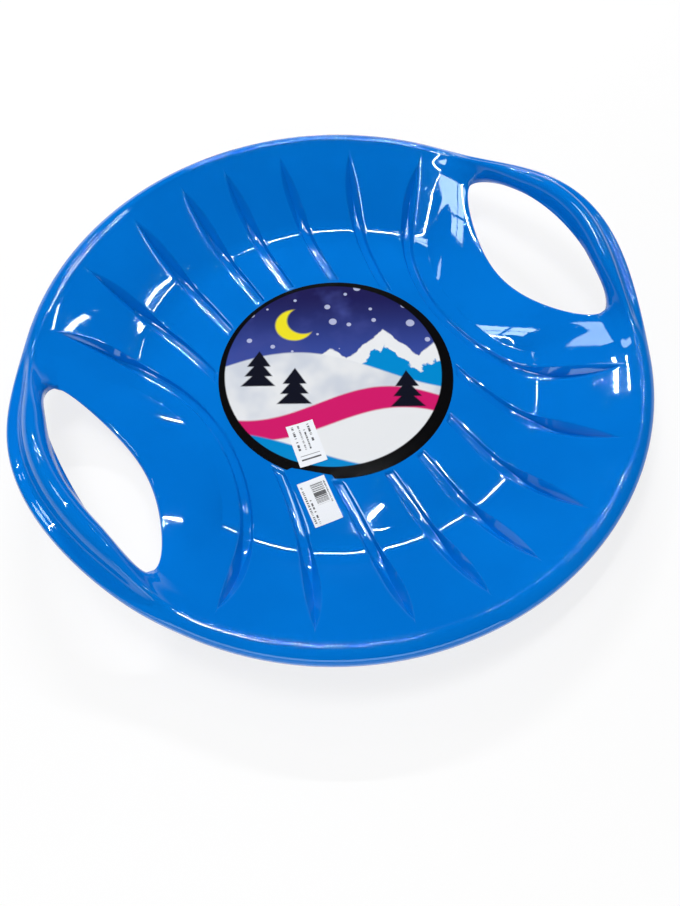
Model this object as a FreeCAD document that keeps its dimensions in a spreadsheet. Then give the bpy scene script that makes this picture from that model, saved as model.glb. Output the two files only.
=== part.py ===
"""Saucer sled: a round moulded dish with runners, two raised hand grips, a round decal and two small labels.

The sled stands on its runners at z = 0. X runs from grip to grip, Y is the way it slides, Z is up.
"""

import math
import os

import FreeCAD
import Part
import Sketcher

SIZES = {
    "outer_radius": 275.0,
    "floor_radius": 160.0,
    "bend_radius": 60.0,
    "wall_angle": 28.0,
    "shell_thickness": 2.5,
    "crest_radius": 5.0,
    "crest_reach": 11.0,
    "skirt_angle": 60.0,
    "runner_drop": 3.5,
    "runner_decal_gap": 4.0,
    "runner_nose_run": 6.0,
    "runner_level_radius": 180.0,
    "runner_tip_inset": 32.0,
    "runner_width": 18.0,
    "runner_tip_width": 2.0,
    "runner_near_offset": 11.0,
    "runner_near_fan": 3.0,
    "runner_middle_offset": 42.0,
    "runner_middle_fan": 9.5,
    "runner_far_offset": 72.0,
    "runner_far_fan": 19.5,
    "arc_runner_radius": 185.0,
    "arc_runner_nearest": 122.0,
    "arc_runner_width": 10.0,
    "hole_arc_radius": 155.0,
    "hole_inset": 84.0,
    "hole_half_length": 97.0,
    "grip_inset": 18.0,
    "grip_crown_radius": 12.0,
    "grip_rise": 26.0,
    "grip_end_drop": 30.0,
    "grip_end_inset": 41.0,
    "grip_half_span": 150.0,
    "grip_flange_reach": 23.0,
    "grip_flange_drop": 3.0,
    "grip_trim_offset": 25.6,
    "decal_floor_margin": 51.0,
    "decal_thickness": 0.3,
    "decal_notch_depth": 5.0,
    "decal_notch_width": 38.0,
    "decal_notch_angle": 46.0,
    "label_length": 43.0,
    "label_width": 25.0,
    "label_thickness": 0.2,
    "barcode_label_inset": 29.4,
    "barcode_label_angle": 51.4,
    "barcode_label_turn": 80.0,
    "price_label_inset": 30.2,
    "price_label_angle": 38.2,
    "price_label_turn": 76.5,
}

FULL_TURN = 360.0
CUT_HEIGHT = 200.0
CUT_MARGIN = 40.0
UPRIGHT = FreeCAD.Rotation(FreeCAD.Vector(1, 0, 0), 90)
AXIS_UP = FreeCAD.Vector(0, 0, 1)

doc = FreeCAD.newDocument("saucer_sled")

# Driving dimensions
sheet = doc.addObject("Spreadsheet::Sheet", "Sizes")
for row, (alias, value) in enumerate(SIZES.items(), start=1):
    sheet.set(f"A{row}", alias)
    sheet.set(f"B{row}", str(value))
    sheet.setAlias(f"B{row}", alias)
doc.recompute()

# Lengths that follow from the driving dimensions
FLOOR_TOP = "(Sizes.runner_drop + Sizes.shell_thickness)"
DECAL_RADIUS = "(Sizes.floor_radius - Sizes.decal_floor_margin)"
RUNNER_START = f"({DECAL_RADIUS} + Sizes.runner_decal_gap)"
HALF_SHELL = "(Sizes.shell_thickness / 2)"
CREST_X = "(Sizes.outer_radius - Sizes.crest_reach)"
BEND_END_X = "(Sizes.floor_radius + Sizes.bend_radius * sin(Sizes.wall_angle))"
BEND_END_Z = f"({FLOOR_TOP} + Sizes.bend_radius * (1 - cos(Sizes.wall_angle)))"
CREST_Z = (
    f"({BEND_END_Z} + ({CREST_X} - {BEND_END_X}) * tan(Sizes.wall_angle)"
    " - Sizes.crest_radius / cos(Sizes.wall_angle))"
)
RUNNER_TIP = "(Sizes.outer_radius - Sizes.runner_tip_inset)"
GROOVE_TIP = f"({RUNNER_TIP} - 2 * Sizes.shell_thickness)"
GROOVE_TIP_Z = f"({BEND_END_Z} + ({GROOVE_TIP} - {BEND_END_X}) * tan(Sizes.wall_angle))"
GRIP_X = "(Sizes.outer_radius - Sizes.grip_inset)"
GRIP_Z = f"({CREST_Z} + Sizes.grip_rise)"
GRIP_RUN = "(Sizes.grip_end_inset)"
GRIP_FALL = "(Sizes.grip_end_drop)"
GRIP_SAG = f"(sqrt({GRIP_RUN} ^ 2 + {GRIP_FALL} ^ 2))"
GRIP_ARC = f"((Sizes.grip_half_span ^ 2 + {GRIP_SAG} ^ 2) / (2 * {GRIP_SAG}))"
HOLLOW_DEPTH = "(Sizes.grip_flange_drop + Sizes.shell_thickness + Sizes.grip_crown_radius)"
HOLLOW_HALF_SPAN = "(Sizes.hole_half_length - Sizes.grip_crown_radius)"
ARC_RUNNER_X = "(Sizes.arc_runner_nearest + Sizes.arc_runner_radius)"
HOLE_X = "(Sizes.outer_radius - Sizes.hole_inset + Sizes.hole_arc_radius)"


def size(alias):
    return float(sheet.get(alias))


def bind(obj, bindings):
    for path, expression in bindings.items():
        obj.setExpression(path, expression)


def link(sketch, *terms):
    return sketch.addConstraint(Sketcher.Constraint(*terms))


def drive(sketch, name, expression, *terms):
    value = sketch.evalExpression(expression)
    start = value.getValueAs("rad").Value if terms[0] == "Angle" else float(value)
    index = link(sketch, *terms, start)
    sketch.renameConstraint(index, name)
    sketch.setExpression(f"Constraints.{name}", expression)


def upright_sketch(name):
    sketch = doc.addObject("Sketcher::SketchObject", name)
    sketch.Placement = FreeCAD.Placement(FreeCAD.Vector(), UPRIGHT)
    return sketch


def line(sketch, start, end):
    return sketch.addGeometry(Part.LineSegment(FreeCAD.Vector(*start, 0), FreeCAD.Vector(*end, 0)))


def arc(sketch, centre, radius, first, last):
    circle = Part.Circle(FreeCAD.Vector(*centre, 0), AXIS_UP, radius)
    return sketch.addGeometry(Part.ArcOfCircle(circle, first, last))


def polygon(sketch, points):
    sides = [line(sketch, point, points[(i + 1) % len(points)]) for i, point in enumerate(points)]
    for i, side in enumerate(sides):
        link(sketch, "Coincident", side, 2, sides[(i + 1) % len(sides)], 1)
    return sides


def pin(sketch, side, name, x, z):
    drive(sketch, f"{name}_x", x, "DistanceX", -1, 1, side, 1)
    drive(sketch, f"{name}_z", z, "DistanceY", -1, 1, side, 1)


def revolved(name, sketch):
    turned = doc.addObject("Part::Revolution", name)
    turned.Source = sketch
    turned.Axis = AXIS_UP
    turned.Base = FreeCAD.Vector()
    turned.Angle = FULL_TURN
    turned.Solid = True
    return turned


def joined(kind, name, shapes):
    result = doc.addObject(kind, name)
    result.Shapes = shapes
    return result


def less(name, base, tool):
    result = doc.addObject("Part::Cut", name)
    result.Base = base
    result.Tool = tool
    return result


def mirrored(name, source):
    result = doc.addObject("Part::Mirroring", name)
    result.Source = source
    result.Normal = FreeCAD.Vector(1, 0, 0)
    return result


# Dish: flat floor, rounded bend, sloping wall, rolled crest and turned-down skirt
floor_top = size("runner_drop") + size("shell_thickness")
thick = size("shell_thickness")
slope = math.radians(size("wall_angle"))
steep = math.radians(size("skirt_angle"))
bend = size("bend_radius")
crest = size("crest_radius")
bend_centre = (size("floor_radius"), floor_top + bend)
bend_end = (bend_centre[0] + bend * math.sin(slope), bend_centre[1] - bend * math.cos(slope))
crest_x = size("outer_radius") - size("crest_reach")
crest_z = bend_end[1] + (crest_x - bend_end[0]) * math.tan(slope) - crest / math.cos(slope)
crest_centre = (crest_x, crest_z)
skirt_along = (math.cos(steep), -math.sin(steep))
skirt_start = (crest_x + crest * math.sin(steep), crest_z + crest * math.cos(steep))
skirt_length = (size("outer_radius") - skirt_start[0]) / skirt_along[0]


def below(point, angle, depth):
    return (point[0] + depth * math.sin(angle), point[1] - depth * math.cos(angle))


def wall_point(depth):
    return below(bend_end, slope, depth)


def crest_point(radius, angle):
    return (crest_x - radius * math.sin(angle), crest_z + radius * math.cos(angle))


def skirt_point(depth, along):
    x = skirt_start[0] - depth * math.sin(steep) + along * skirt_along[0]
    z = skirt_start[1] - depth * math.cos(steep) + along * skirt_along[1]
    return (x, z)


profile = upright_sketch("dish_profile")
chains = []
for depth in (0.0, thick):
    level = floor_top - depth
    chains.append((
        line(profile, (0, level), (bend_centre[0], level)),
        arc(profile, bend_centre, bend + depth, -math.pi / 2, slope - math.pi / 2),
        line(profile, wall_point(depth), crest_point(crest - depth, slope)),
        arc(profile, crest_centre, crest - depth, math.pi / 2 - steep, math.pi / 2 + slope),
        line(profile, skirt_point(depth, 0), skirt_point(depth, skirt_length)),
    ))
top, under = chains
lip = line(profile, skirt_point(0, skirt_length), skirt_point(thick, skirt_length))
hub = line(profile, (0, floor_top - thick), (0, floor_top))
for floor, turn, wall, roll, skirt in chains:
    link(profile, "Horizontal", floor)
    link(profile, "Tangent", floor, 2, turn, 1)
    link(profile, "Tangent", turn, 2, wall, 1)
    link(profile, "Tangent", wall, 2, roll, 2)
    link(profile, "Tangent", roll, 1, skirt, 1)
link(profile, "Coincident", top[4], 2, lip, 1)
link(profile, "Coincident", lip, 2, under[4], 2)
link(profile, "Coincident", hub, 1, under[0], 1)
link(profile, "Coincident", hub, 2, top[0], 1)
link(profile, "PointOnObject", hub, 1, -2)
link(profile, "PointOnObject", hub, 2, -2)
link(profile, "Coincident", top[1], 3, under[1], 3)
link(profile, "Coincident", top[3], 3, under[3], 3)
link(profile, "Perpendicular", lip, top[4])
link(profile, "Parallel", top[4], under[4])
drive(profile, "floor_under", "Sizes.runner_drop", "DistanceY", -1, 1, hub, 1)
drive(profile, "thickness", "Sizes.shell_thickness", "DistanceY", hub, 1, hub, 2)
drive(profile, "floor_edge", "Sizes.floor_radius", "DistanceX", -1, 1, top[0], 2)
drive(profile, "bend", "Sizes.bend_radius", "Radius", top[1])
drive(profile, "wall_slope", "Sizes.wall_angle * 1 deg", "Angle", top[2])
drive(profile, "crest", "Sizes.crest_radius", "Radius", top[3])
drive(profile, "crest_under", "Sizes.crest_radius - Sizes.shell_thickness", "Radius", under[3])
drive(profile, "crest_out", CREST_X, "DistanceX", -1, 1, top[3], 3)
drive(profile, "skirt_slope", "-Sizes.skirt_angle * 1 deg", "Angle", top[4])
drive(profile, "outer_edge", "Sizes.outer_radius", "DistanceX", -1, 1, top[4], 2)
dish = revolved("dish", profile)

# Zones that bound the runners under the dish and the grooves above them
decal_radius = size("floor_radius") - size("decal_floor_margin")
nose = decal_radius + size("runner_decal_gap")
nose_run = size("runner_nose_run")
level_end = size("runner_level_radius")
tip = size("outer_radius") - size("runner_tip_inset")
mid_wall = wall_point(thick / 2)
mid_tip_z = mid_wall[1] + (tip - mid_wall[0]) * math.tan(slope)
mid_floor = floor_top - thick / 2

ridge_profile = upright_sketch("ridge_profile")
mid_line = line(ridge_profile, (nose, mid_floor), (bend_centre[0], mid_floor))
mid_turn = arc(ridge_profile, bend_centre, bend + thick / 2, -math.pi / 2, slope - math.pi / 2)
mid_slope = line(ridge_profile, mid_wall, (tip, mid_tip_z))
keel_rise = line(ridge_profile, (tip, mid_tip_z), (level_end, 0))
keel = line(ridge_profile, (level_end, 0), (nose + nose_run, 0))
keel_nose = line(ridge_profile, (nose + nose_run, 0), (nose, mid_floor))
link(ridge_profile, "Horizontal", mid_line)
link(ridge_profile, "Tangent", mid_line, 2, mid_turn, 1)
link(ridge_profile, "Tangent", mid_turn, 2, mid_slope, 1)
link(ridge_profile, "Coincident", mid_slope, 2, keel_rise, 1)
link(ridge_profile, "Coincident", keel_rise, 2, keel, 1)
link(ridge_profile, "Coincident", keel, 2, keel_nose, 1)
link(ridge_profile, "Coincident", keel_nose, 2, mid_line, 1)
link(ridge_profile, "PointOnObject", keel, 1, -1)
link(ridge_profile, "PointOnObject", keel, 2, -1)
drive(ridge_profile, "nose", RUNNER_START, "DistanceX", -1, 1, mid_line, 1)
drive(ridge_profile, "middle", f"{FLOOR_TOP} - {HALF_SHELL}", "DistanceY", -1, 1, mid_line, 1)
drive(ridge_profile, "floor_edge", "Sizes.floor_radius", "DistanceX", -1, 1, mid_line, 2)
drive(ridge_profile, "bend", f"Sizes.bend_radius + {HALF_SHELL}", "Radius", mid_turn)
drive(ridge_profile, "wall_slope", "Sizes.wall_angle * 1 deg", "Angle", mid_slope)
drive(ridge_profile, "tip", RUNNER_TIP, "DistanceX", -1, 1, mid_slope, 2)
drive(ridge_profile, "level_end", "Sizes.runner_level_radius", "DistanceX", -1, 1, keel, 1)
drive(ridge_profile, "nose_foot", "Sizes.runner_nose_run", "DistanceX", mid_line, 1, keel, 2)
ridge_zone = revolved("ridge_zone", ridge_profile)

groove_tip = tip - 2 * thick
groove_tip_z = bend_end[1] + (groove_tip - bend_end[0]) * math.tan(slope)
groove_nose = nose + thick
groove_profile = upright_sketch("groove_profile")
groove_sides = polygon(groove_profile, (
    (groove_nose, floor_top),
    (groove_nose + nose_run, thick),
    (level_end, thick),
    (groove_tip, groove_tip_z),
    (groove_tip, CUT_HEIGHT),
    (groove_nose, CUT_HEIGHT),
))
GROOVE_NOSE = f"({RUNNER_START} + Sizes.shell_thickness)"
GROOVE_TOP = str(CUT_HEIGHT)
pin(groove_profile, groove_sides[0], "nose", GROOVE_NOSE, FLOOR_TOP)
pin(groove_profile, groove_sides[1], "foot", f"{GROOVE_NOSE} + Sizes.runner_nose_run", "Sizes.shell_thickness")
pin(groove_profile, groove_sides[2], "level_end", "Sizes.runner_level_radius", "Sizes.shell_thickness")
pin(groove_profile, groove_sides[3], "tip", GROOVE_TIP, GROOVE_TIP_Z)
pin(groove_profile, groove_sides[4], "tip_top", GROOVE_TIP, GROOVE_TOP)
pin(groove_profile, groove_sides[5], "nose_top", GROOVE_NOSE, GROOVE_TOP)
groove_zone = revolved("groove_zone", groove_profile)


def straight_runner(name, row, side, end, extra):
    """One tapering bar seen in plan, widened all round by the extra expression."""
    wedge = doc.addObject("Part::Wedge", name)
    half = f"(Sizes.runner_width / 2 + {extra})"
    half_tip = f"(Sizes.runner_tip_width / 2 + {extra})"
    offset = f"Sizes.runner_{row}_offset"
    fan = f"Sizes.runner_{row}_fan"
    turn = f"{-side} * {fan}" if end > 0 else f"180 + {side} * {fan}"
    bind(wedge, {
        "Xmin": f"-{half}",
        "Xmax": half,
        "X2min": f"-{half_tip}",
        "X2max": half_tip,
        "Ymin": "0",
        "Ymax": f"{RUNNER_TIP}",
        "Zmin": "-Sizes.runner_drop",
        "Zmax": str(CUT_HEIGHT),
        "Z2min": "-Sizes.runner_drop",
        "Z2max": str(CUT_HEIGHT),
    })
    wedge.Placement = FreeCAD.Placement(FreeCAD.Vector(), FreeCAD.Rotation(AXIS_UP, 1))
    bind(wedge, {
        "Placement.Base.x": f"{side} * {offset}",
        "Placement.Rotation.Angle": f"({turn}) * 1 deg",
    })
    return wedge


def arc_runner(name, side, extra):
    """One ring seen in plan, curving round the foot of a grip."""
    tubes = []
    for part, sign in (("outside", "+"), ("inside", "-")):
        tube = doc.addObject("Part::Cylinder", f"{name}_{part}")
        bind(tube, {
            "Radius": f"Sizes.arc_runner_radius {sign} (Sizes.arc_runner_width / 2 + {extra})",
            "Height": f"{CUT_HEIGHT} + Sizes.runner_drop",
            "Placement.Base.x": f"{side} * {ARC_RUNNER_X}",
            "Placement.Base.z": "-Sizes.runner_drop",
        })
        tubes.append(tube)
    return less(name, *tubes)


def runner_plan(kind, extra):
    bars = []
    for side in (1, -1):
        for end in (1, -1):
            for row in ("near", "middle", "far"):
                mark = f"{'right' if side > 0 else 'left'}_{'front' if end > 0 else 'back'}"
                bars.append(straight_runner(f"{kind}_{row}_{mark}", row, side, end, extra))
        bars.append(arc_runner(f"{kind}_arc_{'right' if side > 0 else 'left'}", side, extra))
    return joined("Part::MultiFuse", f"{kind}_plan", bars)


ridges = joined("Part::MultiCommon", "ridges", [runner_plan("ridge", "Sizes.shell_thickness"), ridge_zone])
grooves = joined("Part::MultiCommon", "grooves", [runner_plan("groove", "0"), groove_zone])
ribbed = joined("Part::MultiFuse", "ribbed_dish", [dish, ridges])

# Hand holes: the wall and rim are opened beyond a curved edge at each side
hole_round = doc.addObject("Part::Cylinder", "hole_round")
bind(hole_round, {
    "Radius": "Sizes.hole_arc_radius",
    "Height": str(CUT_HEIGHT),
    "Placement.Base.x": HOLE_X,
})
hole_span = doc.addObject("Part::Box", "hole_span")
bind(hole_span, {
    "Length": f"Sizes.hole_inset + 2 * {CUT_MARGIN}",
    "Width": "2 * Sizes.hole_half_length",
    "Height": str(CUT_HEIGHT),
    "Placement.Base.x": f"Sizes.outer_radius - Sizes.hole_inset - {CUT_MARGIN}",
    "Placement.Base.y": "-Sizes.hole_half_length",
})
right_hole = joined("Part::MultiCommon", "right_hole", [hole_round, hole_span])
left_hole = mirrored("left_hole", right_hole)
openings = joined("Part::MultiFuse", "openings", [grooves, right_hole, left_hole])
opened = less("opened_dish", ribbed, openings)

# Grips: an arched bar with a rounded crown and an outer flange, hollow from below over the hand hole
crown = size("grip_crown_radius")
grip_x = size("outer_radius") - size("grip_inset")
grip_z = crest_z + size("grip_rise")
flange_top = grip_z - size("grip_flange_drop")
flange_foot = flange_top - thick
flange_end = grip_x + size("grip_flange_reach")
crown_in = crown - thick
section = upright_sketch("grip_section")
crown_arc = arc(section, (grip_x, grip_z), crown, 0, math.pi)
inner_face = line(section, (grip_x - crown, grip_z), (grip_x - crown, flange_foot))
foot = line(section, (grip_x - crown, flange_foot), (flange_end, flange_foot))
flange_edge = line(section, (flange_end, flange_foot), (flange_end, flange_top))
flange_face = line(section, (flange_end, flange_top), (grip_x + crown, flange_top))
outer_face = line(section, (grip_x + crown, flange_top), (grip_x + crown, grip_z))
link(section, "Tangent", crown_arc, 2, inner_face, 1)
link(section, "Coincident", inner_face, 2, foot, 1)
link(section, "Coincident", foot, 2, flange_edge, 1)
link(section, "Coincident", flange_edge, 2, flange_face, 1)
link(section, "Coincident", flange_face, 2, outer_face, 1)
link(section, "Tangent", outer_face, 2, crown_arc, 1)
for upright_side in (inner_face, flange_edge, outer_face):
    link(section, "Vertical", upright_side)
for level_side in (foot, flange_face):
    link(section, "Horizontal", level_side)
drive(section, "centre_x", GRIP_X, "DistanceX", -1, 1, crown_arc, 3)
drive(section, "centre_z", GRIP_Z, "DistanceY", -1, 1, crown_arc, 3)
drive(section, "crown", "Sizes.grip_crown_radius", "Radius", crown_arc)
drive(section, "flange_drop", "Sizes.grip_flange_drop", "DistanceY", flange_face, 1, crown_arc, 3)
drive(section, "flange_thickness", "Sizes.shell_thickness", "DistanceY", foot, 2, flange_face, 1)
drive(section, "flange_reach", "Sizes.grip_flange_reach", "DistanceX", crown_arc, 3, foot, 2)

hollow_section = upright_sketch("grip_hollow_section")
hollow_arc = arc(hollow_section, (grip_x, grip_z), crown_in, 0, math.pi)
hollow_foot = flange_foot - crown
hollow_inner = line(hollow_section, (grip_x - crown_in, grip_z), (grip_x - crown_in, hollow_foot))
hollow_base = line(hollow_section, (grip_x - crown_in, hollow_foot), (grip_x + crown_in, hollow_foot))
hollow_outer = line(hollow_section, (grip_x + crown_in, hollow_foot), (grip_x + crown_in, grip_z))
link(hollow_section, "Tangent", hollow_arc, 2, hollow_inner, 1)
link(hollow_section, "Coincident", hollow_inner, 2, hollow_base, 1)
link(hollow_section, "Coincident", hollow_base, 2, hollow_outer, 1)
link(hollow_section, "Tangent", hollow_outer, 2, hollow_arc, 1)
link(hollow_section, "Horizontal", hollow_base)
link(hollow_section, "Vertical", hollow_inner)
link(hollow_section, "Vertical", hollow_outer)
drive(hollow_section, "centre_x", GRIP_X, "DistanceX", -1, 1, hollow_arc, 3)
drive(hollow_section, "centre_z", GRIP_Z, "DistanceY", -1, 1, hollow_arc, 3)
drive(hollow_section, "hollow", "Sizes.grip_crown_radius - Sizes.shell_thickness", "Radius", hollow_arc)
drive(hollow_section, "depth", HOLLOW_DEPTH, "DistanceY", hollow_base, 1, hollow_arc, 3)


def arched(name, source, half_span):
    """A section swung along the tilted arc of a grip."""
    swung = doc.addObject("Part::Revolution", name)
    swung.Source = source
    swung.Solid = True
    swung.Symmetric = True
    bind(swung, {
        "Axis.x": f"-{GRIP_FALL} / {GRIP_SAG}",
        "Axis.z": f"{GRIP_RUN} / {GRIP_SAG}",
        "Base.x": f"{GRIP_X} - {GRIP_ARC} * {GRIP_RUN} / {GRIP_SAG}",
        "Base.z": f"{GRIP_Z} - {GRIP_ARC} * {GRIP_FALL} / {GRIP_SAG}",
        "Angle": f"2 * asin({half_span} / {GRIP_ARC})",
    })
    return swung


right_bar = arched("right_bar", section, "Sizes.grip_half_span")
right_hollow = arched("right_hollow", hollow_section, HOLLOW_HALF_SPAN)
right_grip = less("right_grip", right_bar, right_hollow)
grip_outline = doc.addObject("Part::Cylinder", "grip_outline")
bind(grip_outline, {
    "Radius": f"{GRIP_X} + Sizes.grip_flange_reach - Sizes.grip_trim_offset",
    "Height": str(CUT_HEIGHT),
    "Placement.Base.x": "Sizes.grip_trim_offset",
})
trimmed_grip = joined("Part::MultiCommon", "trimmed_grip", [right_grip, grip_outline])
left_grip = mirrored("left_grip", trimmed_grip)
saucer_body = joined("Part::MultiFuse", "saucer_body", [opened, trimmed_grip, left_grip])


def flat_body(name, draw, thickness, place):
    """A thin flat piece drawn in plan and given its thickness and place."""
    body = doc.addObject("PartDesign::Body", name)
    plane = next(item for item in body.Origin.OriginFeatures if item.Role == "XY_Plane")
    sketch = body.newObject("Sketcher::SketchObject", f"{name}_plan")
    sketch.AttachmentSupport = (plane, [""])
    sketch.MapMode = "FlatFace"
    draw(sketch)
    doc.recompute()
    pad = body.newObject("PartDesign::Pad", f"{name}_sheet")
    pad.Profile = sketch
    pad.setExpression("Length", thickness)
    body.Tip = pad
    bind(body, place)
    return body


def draw_decal(sketch):
    """A disc with a shallow straight notch in its edge."""
    radius = decal_radius
    half = size("decal_notch_width") / 2
    floor_of_notch = radius - size("decal_notch_depth")
    edge_x = math.sqrt(radius ** 2 - half ** 2)
    opening = math.atan2(half, edge_x)
    edge = arc(sketch, (0, 0), radius, opening, 2 * math.pi - opening)
    lower = line(sketch, (edge_x, -half), (floor_of_notch, -half))
    back = line(sketch, (floor_of_notch, -half), (floor_of_notch, half))
    upper = line(sketch, (floor_of_notch, half), (edge_x, half))
    link(sketch, "Coincident", edge, 3, -1, 1)
    link(sketch, "Coincident", edge, 2, lower, 1)
    link(sketch, "Coincident", lower, 2, back, 1)
    link(sketch, "Coincident", back, 2, upper, 1)
    link(sketch, "Coincident", upper, 2, edge, 1)
    link(sketch, "Horizontal", lower)
    link(sketch, "Horizontal", upper)
    link(sketch, "Vertical", back)
    drive(sketch, "radius", DECAL_RADIUS, "Radius", edge)
    drive(sketch, "notch_floor", f"{DECAL_RADIUS} - Sizes.decal_notch_depth", "DistanceX", -1, 1, back, 1)
    drive(sketch, "notch_half", "Sizes.decal_notch_width / 2", "DistanceY", -1, 1, back, 2)
    drive(sketch, "notch_width", "Sizes.decal_notch_width", "DistanceY", back, 1, back, 2)


def draw_label(sketch):
    """A rectangle about its own centre."""
    half_length = size("label_length") / 2
    half_width = size("label_width") / 2
    corners = ((-half_length, -half_width), (half_length, -half_width),
               (half_length, half_width), (-half_length, half_width))
    sides = polygon(sketch, corners)
    for side in sides[0::2]:
        link(sketch, "Horizontal", side)
    for side in sides[1::2]:
        link(sketch, "Vertical", side)
    link(sketch, "Symmetric", sides[0], 1, sides[1], 2, -1, 1)
    drive(sketch, "length", "Sizes.label_length", "DistanceX", sides[0], 1, sides[0], 2)
    drive(sketch, "width", "Sizes.label_width", "DistanceY", sides[1], 1, sides[1], 2)


# Decal and labels
TURNED = FreeCAD.Placement(FreeCAD.Vector(), FreeCAD.Rotation(AXIS_UP, 1))
HALF_TURN = "180"
BARCODE_REACH = "(Sizes.floor_radius - Sizes.barcode_label_inset)"
PRICE_REACH = f"({DECAL_RADIUS} - Sizes.price_label_inset)"
LABEL_ON_DECAL = f"{FLOOR_TOP} + Sizes.decal_thickness"
decal = flat_body("decal", draw_decal, "Sizes.decal_thickness", {})
barcode_label = flat_body("barcode_label", draw_label, "Sizes.label_thickness", {})
price_label = flat_body("price_label", draw_label, "Sizes.label_thickness", {})
for piece in (decal, barcode_label, price_label):
    piece.Placement = TURNED
bind(decal, {
    "Placement.Base.z": FLOOR_TOP,
    "Placement.Rotation.Angle": f"({HALF_TURN} + Sizes.decal_notch_angle) * 1 deg",
})
bind(barcode_label, {
    "Placement.Base.x": f"-{BARCODE_REACH} * cos(Sizes.barcode_label_angle)",
    "Placement.Base.y": f"-{BARCODE_REACH} * sin(Sizes.barcode_label_angle)",
    "Placement.Base.z": FLOOR_TOP,
    "Placement.Rotation.Angle": "Sizes.barcode_label_turn * 1 deg",
})
bind(price_label, {
    "Placement.Base.x": f"-{PRICE_REACH} * cos(Sizes.price_label_angle)",
    "Placement.Base.y": f"-{PRICE_REACH} * sin(Sizes.price_label_angle)",
    "Placement.Base.z": LABEL_ON_DECAL,
    "Placement.Rotation.Angle": "Sizes.price_label_turn * 1 deg",
})
doc.recompute()

# Checks and export
for item in doc.Objects:
    if {"Invalid", "Error"} & set(item.State):
        raise RuntimeError(f"{item.Name} did not build: {item.State}")

os.makedirs("parts", exist_ok=True)
for piece in (saucer_body, decal, barcode_label, price_label):
    if piece.Shape.isNull() or not piece.Shape.isValid():
        raise RuntimeError(f"{piece.Label} has no sound shape")
    piece.Shape.exportStep(f"parts/{piece.Label}.step")
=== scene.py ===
"""Dresses the saucer sled: a glossy moulded shell, a printed decal and two paper labels on a pale floor."""

import math

import bpy
import numpy as np
from mathutils import Matrix, Vector


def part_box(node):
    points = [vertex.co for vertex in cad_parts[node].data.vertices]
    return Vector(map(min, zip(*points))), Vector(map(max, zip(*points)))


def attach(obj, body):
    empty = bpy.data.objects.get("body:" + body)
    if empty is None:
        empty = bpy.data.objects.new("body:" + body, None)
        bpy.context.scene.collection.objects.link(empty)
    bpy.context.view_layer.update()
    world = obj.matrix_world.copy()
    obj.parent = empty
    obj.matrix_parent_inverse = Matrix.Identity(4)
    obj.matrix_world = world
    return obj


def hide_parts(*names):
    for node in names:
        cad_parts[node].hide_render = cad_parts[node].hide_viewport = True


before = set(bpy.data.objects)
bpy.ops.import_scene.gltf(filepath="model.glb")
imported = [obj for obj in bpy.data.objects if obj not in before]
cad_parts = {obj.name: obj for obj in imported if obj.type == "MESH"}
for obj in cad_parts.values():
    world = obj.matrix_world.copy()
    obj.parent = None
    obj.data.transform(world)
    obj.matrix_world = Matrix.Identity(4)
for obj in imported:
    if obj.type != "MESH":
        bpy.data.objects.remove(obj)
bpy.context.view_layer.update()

MM = 0.001

# Places taken from the frame, in metres
decal_low, decal_high = (Vector(corner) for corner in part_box("decal"))
FLOOR_TOP = decal_low.z
DECAL_RADIUS = decal_high.x
DECAL_THICKNESS = decal_high.z - decal_low.z

# Dish, in millimetres above its own floor
SHELL_THICKNESS = 2.5
FLOOR_RADIUS = 160.0
BEND_RADIUS = 60.0
WALL_SLOPE = math.radians(28.0)

# Runner grooves, each an arc centred on X: its least distance from the middle, and its radius
GROOVES = ((122.0, 185.5), (92.0, 403.0), (54.7, 1025.0), (15.0, 3450.0))
GROOVE_NOSE_RADIUS = 113.0
GROOVE_TIP_RADIUS = 249.0
GROOVE_NOSE_DEPTH = 2.0
GROOVE_DEPTH = 3.5
GROOVE_FLAT_HALF = 3.3
GROOVE_FLAT_END = (178.0, 214.0)
GROOVE_FLOOR_SIDE = math.tan(math.radians(62.0))
GROOVE_WALL_SIDE = math.tan(math.radians(52.0))
GROOVE_EDGE_SOFTNESS = 0.5
GROOVE_KEEL_SOFTNESS = 0.35

# Grip platforms, bounded by an arc centred on X: its least distance from the middle, and its radius
PLATFORM_CREASE = (140.0, 151.4)
PLATFORM_TOP_RADIUS = 191.5
PLATFORM_END_RADIUS = 249.0
PLATFORM_RISE = 2.5
PLATFORM_LEAST_RUN = 1.0
PLATFORM_SOFTNESS = 0.12
PLATFORM_FADE = 20.0

# Hand holes: an oval bowed round the rim
HOLE_HALF_ANGLE = math.radians(23.4)
HOLE_MIDDLE_RADIUS = 219.0
HOLE_END_RADIUS = 244.0
HOLE_HALF_WIDTH = 27.5
HOLE_LIP = 3.2

# Rim and grip sections as control points: radius and height
RIM_SECTION = np.array((
    (248.0, 38.8), (251.0, 40.4), (256.0, 43.1), (260.2, 45.6), (261.8, 46.8), (263.6, 47.2),
    (267.0, 46.8), (271.0, 45.0), (275.0, 42.4), (275.0, 38.0),
))
GRIP_SECTION = np.array((
    (245.5, 63.0), (248.5, 63.5), (248.3, 70.0), (250.8, 78.0), (257.5, 82.5), (265.0, 78.5),
    (268.5, 68.5), (274.0, 67.3), (280.0, 70.5), (281.0, 65.5),
))
RIM_JOIN_RADIUS = RIM_SECTION[0, 0]
GRIP_LIFT = np.array((5.0, 28.0))
GRIP_LIFT_HALF_ANGLE = math.radians(35.0)
CROWN_END = (math.radians(29.0), math.radians(35.0))
CROWN_FULL = (math.radians(8.0), math.radians(24.0))
SPLINE_DEGREE = 3

# Rows of the shell's mesh, by radius: two on the flat, a close group at the groove noses, then wider ones
FLAT_ROWS = (0.0, 60.0)
CLOSE_ROWS = (104.0, 146.0, 36)
WIDE_ROWS = 36
PULL_RADIUS = 170.0
RIM_ROWS = 23
LIP_ROWS = 5

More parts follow.
